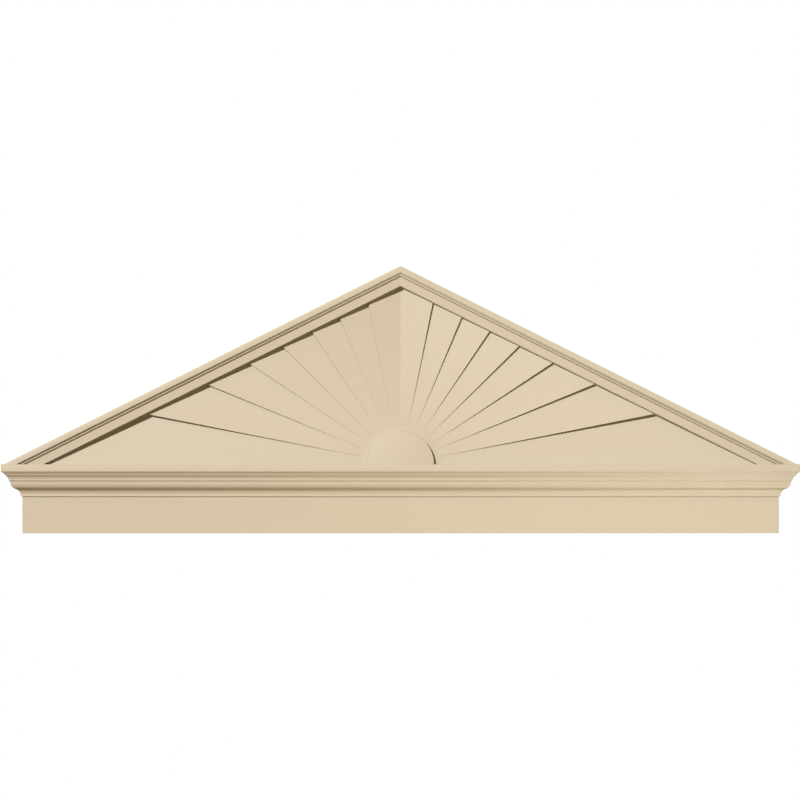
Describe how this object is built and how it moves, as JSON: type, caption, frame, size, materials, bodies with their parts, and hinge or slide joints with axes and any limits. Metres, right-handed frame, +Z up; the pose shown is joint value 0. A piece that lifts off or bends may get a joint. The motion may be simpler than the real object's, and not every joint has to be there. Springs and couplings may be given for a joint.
{
  "type": "classical pediment",
  "caption": "Peaked pediment for a door or window head: moulded crosshead with returned ends, and a sunburst cap with raking cornices.",
  "frame": {"origin": "on the wall plane, at the lower back edge of the crosshead, on the centre line", "axes": "+X along the width, +Y into the wall (the front faces -Y), +Z up"},
  "size_m": [1.9306, 0.0698, 0.6459],
  "materials": {
    "primer": "factory primer over moulded high-density polyurethane, low satin with a very fine orange peel"
  },
  "bodies": {
    "root": {"crosshead": "primer", "peaked_cap": "primer"}
  },
  "joints": []
}
